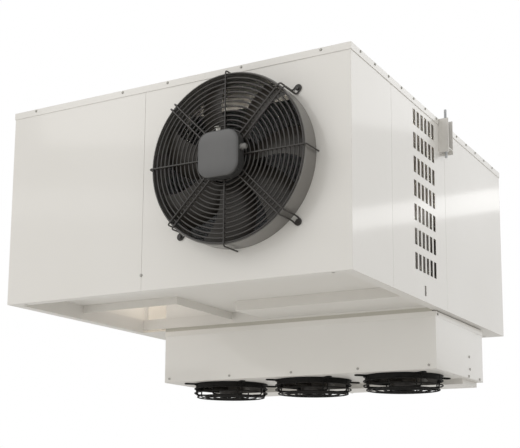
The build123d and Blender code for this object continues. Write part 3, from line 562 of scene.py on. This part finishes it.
def bladeLoops(middle, axis, turn, shape, rootRadius, steps=10):
    # closed sections of one blade from root to tip, each wrapped round the axis at its own radius
    side = axis.orthogonal().normalized()
    up = axis.cross(side)
    count = 20          # points round a section
    loops = []
    for row in range(steps + 1):
        t = row / steps
        radius = rootRadius + (shape["tipRadius"] - rootRadius) * t
        chord = shape["rootChord"] + (shape["tipChord"] - shape["rootChord"]) * t
        pitch = math.radians(shape["rootPitch"] + (shape["tipPitch"] - shape["rootPitch"]) * t)
        swept = turn + math.radians(shape["sweep"]) * t * t
        loop = []
        for number in range(count):
            lap = number / count * 2
            along = 1 - 2 * lap if lap < 1 else 2 * (lap - 1) - 1     # from edge to edge and back
            face = 1 if lap < 1 else -1
            across = shape["camber"] * chord * (1 - along * along)
            across += face * shape["bladeThickness"] / 2 * math.sqrt(max(0.0, 1 - along ** 4))
            s = along * chord / 2
            around = s * math.cos(pitch) + across * math.sin(pitch)
            height = -s * math.sin(pitch) + across * math.cos(pitch)
            angle = swept + around / radius
            outward = side * math.cos(angle) + up * math.sin(angle)
            loop.append(middle + (outward * radius + axis * height) * mm)
        loops.append(loop)
    return loops


def fanRotor():
    # turned cup with a soft edge, and cambered twisted blades round it
    front, back = fan["cupFront"], fan["cupFront"] - fan["cupLength"]
    inner, outer = fan["cupInner"], fan["cupOuter"]
    bore = fan["shaftRadius"] + 0.1
    profile = [(inner, front), (outer - 1, front), (outer, front - 1), (outer, back + 8),
               (outer - 2.5, back + 2.5), (outer - 8, back), (bore, back), (bore, back + 4),
               (inner, back + 4)]
    bm = bmesh.new()
    lathe(bm, scaled(profile), fanMiddle, outOfPanel, 96, closed=True)
    bladeMiddle = fanMiddle + outOfPanel * (front + back) / 2 * mm
    for number in range(fan["blades"]):
        turn = 2 * math.pi * number / fan["blades"]
        skin(bm, bladeLoops(bladeMiddle, outOfPanel, turn, fan, outer - 2))
    return solid("fanRotorBlades", bm, finishes["blade_black"], "condenser_fan", "blade_black",
                 ["condenser_rotor"])


nozzleRing()
guardWires()
guardScrews()
fanMotor()
fanRotor()
print("condenser fan built")


# Terminal box on the fan motor

box = {
    "width": 123, "height": 126, "corner": 35, "back": 74.5, "depth": 36, "lidDepth": 13,
    "edge": 5, "seam": 0.8, "crown": 1.25, "dome": ((9, 0.5), (16, 0.9), (24, 1.15), (34.5, 1.25)),
    "glandRadius": 9, "glandLength": 18, "glandHeight": 25,
}


def boxLoop(inset, depth):
    outline = roundedOutline(box["width"] - 2 * inset, box["height"] - 2 * inset, box["corner"] - inset)
    return [fanMiddle + Vector((x, -depth, z)) * mm for x, z in outline]


def terminalBox():
    # body with a slight draught, a shadow gap under the lid, and a lid with a soft front edge
    back, front = box["back"], box["back"] + box["depth"]
    gap = front - box["lidDepth"]
    recess = box["seam"] + 0.6
    loops = [boxLoop(1.2, back), boxLoop(0.4, back + 3), boxLoop(0.2, gap - 1.2),
             boxLoop(recess, gap - 1.0), boxLoop(recess, gap), boxLoop(0, gap + 0.2)]
    for step in range(7):
        angle = math.pi / 2 * step / 6
        loops.append(boxLoop(box["edge"] * (1 - math.cos(angle)),
                             front - box["crown"] - box["edge"] * (1 - math.sin(angle))))
    for inset, crown in box["dome"]:
        loops.append(boxLoop(inset, front - box["crown"] + crown))
    bm = bmesh.new()
    skin(bm, loops)
    return solid("terminalBoxShell", bm, finishes["box_grey"], "housing", "box_grey", ["terminal_box"])


def terminalGland():
    # hexagon body, and a tapered cap with a dished mouth
    seat = Vector((box["width"] / 2 - 0.6, -(box["back"] + box["depth"] / 2), box["glandHeight"] / 2))
    middle = fanMiddle + seat * mm
    radius, length = box["glandRadius"], box["glandLength"]
    body = [(0, 0), (radius, 0), (radius, 6), (radius - 1, 6.6), (0, 6.6)]
    cap = [(0, 6), (radius - 1.4, 6), (radius - 1.4, length - 4), (radius - 2.4, length - 1.4),
           (radius - 4.2, length), (3.6, length), (3.2, length - 2), (0, length - 2.4)]
    bm = bmesh.new()
    lathe(bm, scaled(body), middle, (1, 0, 0), sides=6)
    lathe(bm, scaled(cap), middle, (1, 0, 0), 28)
    return solid("terminalBoxGland", bm, finishes["gland_grey"], "housing", "gland_grey", ["terminal_gland"])


clips = {"places": ((-19, 84), (-17, -59)), "width": 13, "height": 16, "sheet": 1.2, "lip": 9,
         "screw": {"radius": 4.2, "height": 3}}


def guardClips():
    # bent zinc clips that hold the box to the inner rings, each with a screw
    bm = bmesh.new()
    places = []
    for x, z in clips["places"]:
        away = 1 if z > 0 else -1
        half, tall, thin, lip = clips["width"] / 2, clips["height"], clips["sheet"], clips["lip"]
        base = box["back"]
        section = [(0, 0), (tall, 0), (tall, lip), (tall - thin, lip), (tall - thin, thin), (0, thin)]
        loops = [[fanMiddle + Vector((x + side, -(base + depth), z - away * (tall - rise))) * mm
                  for rise, depth in section] for side in (-half, half)]
        skin(bm, loops)
        places.append((fanMiddle + Vector((x, -(base + thin), z - away * tall * 0.55)) * mm, outOfPanel))
    solid("guardClips", bm, dullZinc, "housing", "galvanised")
    screws("guardClipScrews", places, clips["screw"], dullZinc, "housing", "galvanised")


terminalBox()
terminalGland()
guardClips()
print("terminal box built")


# Evaporator fans

small = {
    "x": (-263, 57, 377), "y": 168, "plate": -180, "depth": 47, "radius": 128, "wire": 4.6,
    "faceRings": (34, 61, 89, 116), "sideRings": (13, 28), "bend": 7,
    "bandHeight": 18, "bandRadius": 122, "bandWall": 2, "footReach": 156, "footGap": 15,
    "statorRadius": 34, "statorHeight": 40, "shaftRadius": 4, "shaftLength": 13,
    "grooves": 4, "groovePitch": 7, "grooveDepth": 2,
    "cupInner": 37, "cupOuter": 40, "cupHeight": 46, "cupLift": 3, "bladeLift": 26,
    "tipRadius": 114, "rootChord": 52, "tipChord": 72, "rootPitch": 36, "tipPitch": 24,
    "camber": 0.09, "bladeThickness": 1.8, "sweep": -16, "blades": 5,
}
small["low"] = small["plate"] - small["depth"]


def onBasket(x, radius, degrees, z, aside=0.0):
    angle = math.radians(degrees)
    across = Vector((math.cos(angle), math.sin(angle), 0))
    along = Vector((-math.sin(angle), math.cos(angle), 0))
    return (Vector((x, small["y"], z)) + across * radius + along * aside) * mm


def basketGuard(number, x):
    # face rings, side rings, spokes that turn up to the plate, and four looped feet
    wire, low, plate, radius = small["wire"], small["low"], small["plate"], small["radius"]
    paths = []

    def ring(ringRadius, z, count=96):
        paths.append(([onBasket(x, ringRadius, 360 * i / count, z) for i in range(count)], True))

    for ringRadius in small["faceRings"]:
        ring(ringRadius, low + wire / 2)
    for height in small["sideRings"]:
        ring(radius - wire / 2, low + height + wire / 2)
    hub = small["faceRings"][0] - 2
    face, top = low + wire * 1.5, plate - wire / 2
    leg, foot = radius - wire * 1.5, small["footReach"]
    bend = small["bend"] * mm
    for degrees in singleSpokes:
        corners = [onBasket(x, hub, degrees, face), onBasket(x, leg, degrees, face),
                   onBasket(x, leg, degrees, plate)]
        paths.append((bent(corners, bend), False))
    for degrees in doubledSpokes:
        reach = [(hub, face), (leg, face), (leg, top), (foot, top)]
        doubled = looped(lambda out, z, aside: onBasket(x, out, degrees, z, aside), reach,
                         small["footGap"] / 2, bend, 10)
        paths.append((doubled, False))
    return wires(f"evaporatorBasket.{number}", paths, wire * mm, bandPaint, "housing", "guard_black",
                 [f"evaporator_fan_guard_{number}"])


def inletBand(number, x):
    # black rolled band round the hole, against the plate
    radius, wall, plate, tall = small["bandRadius"], small["bandWall"], small["plate"], small["bandHeight"]
    low = plate - tall
    profile = [(radius - wall, plate), (radius + 6, plate), (radius + 6, plate - 1.5), (radius, plate - 1.5),
               (radius, low + 1), (radius - wall / 2, low), (radius - wall, low + 1)]
    bm = bmesh.new()
    lathe(bm, scaled(profile), Vector((x, small["y"], 0)) * mm, (0, 0, 1), 96, closed=True)
    return solid(f"evaporatorInletBand.{number}", bm, bandPaint, "housing", "guard_black")


def smallMotor(number, x):
    # can with cooling grooves, a stepped end and its shaft
    low = small["low"] + 2 * small["wire"]
    radius, height = small["statorRadius"], small["statorHeight"]
    profile = [(0, 0), (12, 0), (13, 1), (24, 1), (26, 0), (radius - 3, 0), (radius, 3)]
    core = radius - small["grooveDepth"]
    for groove in range(small["grooves"]):
        start = 8 + groove * small["groovePitch"]
        profile += [(radius, start), (core, start + 1), (core, start + 3), (radius, start + 4)]
    shaft, shaftEnd = small["shaftRadius"], height + small["shaftLength"]
    profile += [(radius, height), (shaft, height), (shaft, shaftEnd), (0, shaftEnd)]
    bm = bmesh.new()
    lathe(bm, scaled(profile), Vector((x, small["y"], low)) * mm, (0, 0, 1), 64)
    return solid(f"evaporatorMotor.{number}", bm, finishes["motor_black"], "housing", "motor_black",
                 [f"evaporator_fan_motor_{number}"])


def smallRotor(number, x):
    # cup over the can with five twisted blades
    low = small["low"] + 2 * small["wire"] + small["cupLift"]
    inner, outer, height = small["cupInner"], small["cupOuter"], small["cupHeight"]
    top = low + height
    profile = [(inner, low), (outer - 0.8, low), (outer, low + 0.8), (outer, top - 5),
               (outer - 5, top), (4.1, top), (4.1, top - 3), (inner, top - 3)]
    bm = bmesh.new()
    lathe(bm, scaled(profile), Vector((x, small["y"], 0)) * mm, (0, 0, 1), 64, closed=True)
    middle = Vector((x, small["y"], low + small["bladeLift"])) * mm
    for blade in range(small["blades"]):
        turn = 2 * math.pi * blade / small["blades"]
        skin(bm, bladeLoops(middle, Vector((0, 0, 1)), turn, small, outer - 2, 8))
    return solid(f"evaporatorRotor.{number}", bm, finishes["blade_black"], f"evaporator_fan_{number}",
                 "blade_black", [f"evaporator_fan_rotor_{number}"])


for number, x in enumerate(small["x"], start=1):
    basketGuard(number, x)
    inletBand(number, x)
    smallMotor(number, x)
    smallRotor(number, x)
print("evaporator fans built")


# Screws and hangers

lidHeads = {
    "z": 594, "frontX": (-484, -158, -1, 240, 481), "frontY": -642, "rearY": 658,
    "sideX": 568, "firstY": -582, "pitch": 96, "count": 13, "size": {"radius": 4.2, "height": 2.2},
}


def lidScrews():
    places = []
    for x in lidHeads["frontX"]:
        places.append((Vector((x, lidHeads["frontY"], lidHeads["z"])) * mm, (0, -1, 0)))
        places.append((Vector((x, lidHeads["rearY"], lidHeads["z"])) * mm, (0, 1, 0)))
    for number in range(lidHeads["count"]):
        y = lidHeads["firstY"] + number * lidHeads["pitch"]
        for side in (1, -1):
            places.append((Vector((side * lidHeads["sideX"], y, lidHeads["z"])) * mm, (side, 0, 0)))
    return screws("lidEdgeScrews", places, lidHeads["size"], dullZinc, "housing", "galvanised",
                  ["lid_screws"])


coverHeads = {"seam": (-76.6, -640.2, 44.7), "rearX": (-375, -125, 125, 375), "rearY": 656.2, "rearZ": 22.5,
              "size": {"radius": 5.0, "height": 2.5}}


def coverScrews():
    places = [(Vector(coverHeads["seam"]) * mm, (0, -1, 0))]
    rear = [Vector((x, coverHeads["rearY"], coverHeads["rearZ"])) for x in coverHeads["rearX"]]
    places += [(point * mm, (0, 1, 0)) for point in rear]
    return screws("coverScrews", places, coverHeads["size"], dullZinc, "housing", "galvanised",
                  ["panel_screws"])


hanger = {"x": 582.2, "y": 38, "low": 478, "top": 635, "radius": 4.25, "pitch": 1.25, "depth": 0.45,
          "nutRadius": 8, "nutHeight": 6.5, "nutBore": 4.4, "nutSeats": (495.5, 506)}


def hangerRods():
    # threaded rods as stacked ridges, and their nuts
    radius, core = hanger["radius"], hanger["radius"] - hanger["depth"]
    profile = [(0, hanger["low"]), (core, hanger["low"])]
    turns = int((hanger["top"] - hanger["low"] - 1) / hanger["pitch"])
    for number in range(turns):
        start = hanger["low"] + 0.5 + number * hanger["pitch"]
        profile += [(core, start), (radius, start + hanger["pitch"] / 2)]
    profile += [(core, hanger["top"] - 0.1), (0, hanger["top"])]
    rods = bmesh.new()
    nuts = bmesh.new()
    for side in (1, -1):
        foot = Vector((side * hanger["x"], hanger["y"], 0)) * mm
        lathe(rods, scaled(profile), foot, (0, 0, 1), 24)
        for seat in hanger["nutSeats"]:
            high, out, bore = seat + hanger["nutHeight"], hanger["nutRadius"], hanger["nutBore"]
            ring = [(bore, seat), (out - 1, seat), (out, seat + 0.8), (out, high - 0.8),
                    (out - 1, high), (bore, high)]
            lathe(nuts, scaled(ring), foot, (0, 0, 1), sides=6, closed=True)
    solid("hangerThreads", rods, finishes["galvanised"], "housing", "galvanised", ["hanger_rods"])
    solid("hangerRodNuts", nuts, finishes["galvanised"], "housing", "galvanised", ["hanger_nuts"])


lidScrews()
coverScrews()
hangerRods()
print("screws and hangers built")


# Floor, light and camera

studio = {"floor": -1.5, "floorSize": 40, "floorTone": rgb(0.94, 0.94, 0.93),
          "floorDrift": rgb(0.93, 0.93, 0.92), "ambient": 0.69, "sky": rgb(1.0, 0.985, 0.96)}


def backdrop():
    # a pale floor, and a sky that is white where it is seen and softer where it only lights
    bm = bmesh.new()
    half = studio["floorSize"] / 2
    corners = ((-half, -half), (half, -half), (half, half), (-half, half))
    bm.faces.new([bm.verts.new((x, y, studio["floor"])) for x, y in corners])
    mesh = bpy.data.meshes.new("studioFloor")
    bm.to_mesh(mesh)
    bm.free()
    floor = bpy.data.objects.new("studioFloor", mesh)
    bpy.context.scene.collection.objects.link(floor)
    tone = Finish("floorTone", Roughness=0.85)
    drift = tone.spread(tone.noise(1.2, 2), 0.3, 0.7)
    tone.colour(tone.blend(drift, studio["floorTone"], studio["floorDrift"]))
    mesh.materials.append(tone.material)
    world = bpy.data.worlds.new("studio")
    bpy.context.scene.world = world
    world.use_nodes = True
    tree = world.node_tree
    path = tree.nodes.new("ShaderNodeLightPath")
    seen = path.outputs["Is Camera Ray"]
    for ray in ("Is Glossy Ray", "Is Transmission Ray"):
        either = tree.nodes.new("ShaderNodeMath")
        either.operation = "MAXIMUM"
        tree.links.new(seen, either.inputs[0])
        tree.links.new(path.outputs[ray], either.inputs[1])
        seen = either.outputs[0]
    white = tree.nodes["Background"]
    white.inputs["Color"].default_value = rgb(1, 1, 1)
    white.inputs["Strength"].default_value = 1.0
    soft = tree.nodes.new("ShaderNodeBackground")
    soft.inputs["Color"].default_value = studio["sky"]
    soft.inputs["Strength"].default_value = studio["ambient"]
    mix = tree.nodes.new("ShaderNodeMixShader")
    tree.links.new(seen, mix.inputs[0])
    tree.links.new(soft.outputs[0], mix.inputs[1])
    tree.links.new(white.outputs[0], mix.inputs[2])
    tree.links.new(mix.outputs[0], tree.nodes["World Output"].inputs["Surface"])


# The bands mirror in the glossy sides, and the inside lamps are stray light behind the intake
# and the louvres
lamps = {
    "key": dict(place=(-2.4, -4.6, 2.9), aim=(0, 0, 0.2), size=(2.6, 1.8), power=26,
                tint=(1.0, 0.985, 0.96)),
    "fill": dict(place=(-2.6, -3.4, -0.9), aim=(-0.2, -0.2, 0), size=(2.0, 1.0), power=9,
                 tint=(1.0, 0.985, 0.96)),
    "bandRight": dict(place=(4.1, 8.2, 2.64), aim=(0.57, 0, 0.35), size=(10, 0.25), roll=7, power=13,
                      tint=(1, 1, 1)),
    "topRight": dict(place=(4.1, 8.2, 4.35), aim=(0.57, 0, 0.5), size=(10, 1.2), roll=-10, power=36,
                     tint=(1, 1, 1)),
    "bandFront": dict(place=(-4.6, -8.0, 2.6), aim=(0, -0.64, 0.35), size=(10, 0.34), power=9,
                      tint=(1, 1, 1)),
    "insideFront": dict(place=(-0.43, -0.14, 0.34), aim=(-0.566, -0.10, 0.06), size=(0.06, 0.30),
                        power=0.6, tint=(1.0, 0.94, 0.88)),
    "insideRear": dict(place=(-0.50, 0.08, 0.46), aim=(-0.51, 0.42, 0.08), size=(0.08, 0.10),
                       power=1.5, tint=(1.0, 0.94, 0.88)),
    "insideRight": dict(place=(0.28, -0.04, 0.22), aim=(0.24, 0.06, 0.6), size=(0.30, 0.30),
                        power=0.5, tint=(1.0, 0.97, 0.90)),
}


def lamp(name, lampShape):
    # a soft rectangle facing its aim, rolled about that direction
    light = bpy.data.lights.new(name, "AREA")
    light.shape = "RECTANGLE"
    light.size, light.size_y = lampShape["size"]
    light.energy = lampShape["power"]
    light.color = lampShape["tint"]
    holder = bpy.data.objects.new(name, light)
    bpy.context.scene.collection.objects.link(holder)
    holder.location = lampShape["place"]
    ahead = Vector(lampShape["aim"]) - Vector(lampShape["place"])
    roll = Matrix.Rotation(math.radians(lampShape.get("roll", 0)), 3, "Z")
    holder.rotation_euler = (ahead.to_track_quat("-Z", "Y").to_matrix() @ roll).to_euler()


# Focal length and shift are in pixels of the picture's width
view = {"place": (1.62679, -3.00131, -0.54439), "yaw": 0.51079, "pitch": 0.16525, "roll": 0.00696,
        "focal": 1059.25, "shift": 90, "width": 520, "sensor": 36}


def camera():
    data = bpy.data.cameras.new("viewCamera")
    data.sensor_width = view["sensor"]
    data.lens = view["sensor"] * view["focal"] / view["width"]
    data.shift_y = view["shift"] / view["width"]
    holder = bpy.data.objects.new("viewCamera", data)
    bpy.context.scene.collection.objects.link(holder)
    yaw, pitch = view["yaw"], view["pitch"]
    level = Vector((-math.sin(yaw), math.cos(yaw), 0)) * math.cos(pitch)
    ahead = level + Vector((0, 0, math.sin(pitch)))
    turned = ahead.to_track_quat("-Z", "Y").to_matrix() @ Matrix.Rotation(view["roll"], 3, "Z")
    holder.matrix_world = Matrix.Translation(view["place"]) @ turned.to_4x4()
    bpy.context.scene.camera = holder


backdrop()
for name, lampShape in lamps.items():
    lamp(name, lampShape)
camera()
bpy.context.scene.view_settings.view_transform = "Standard"
print("studio set")
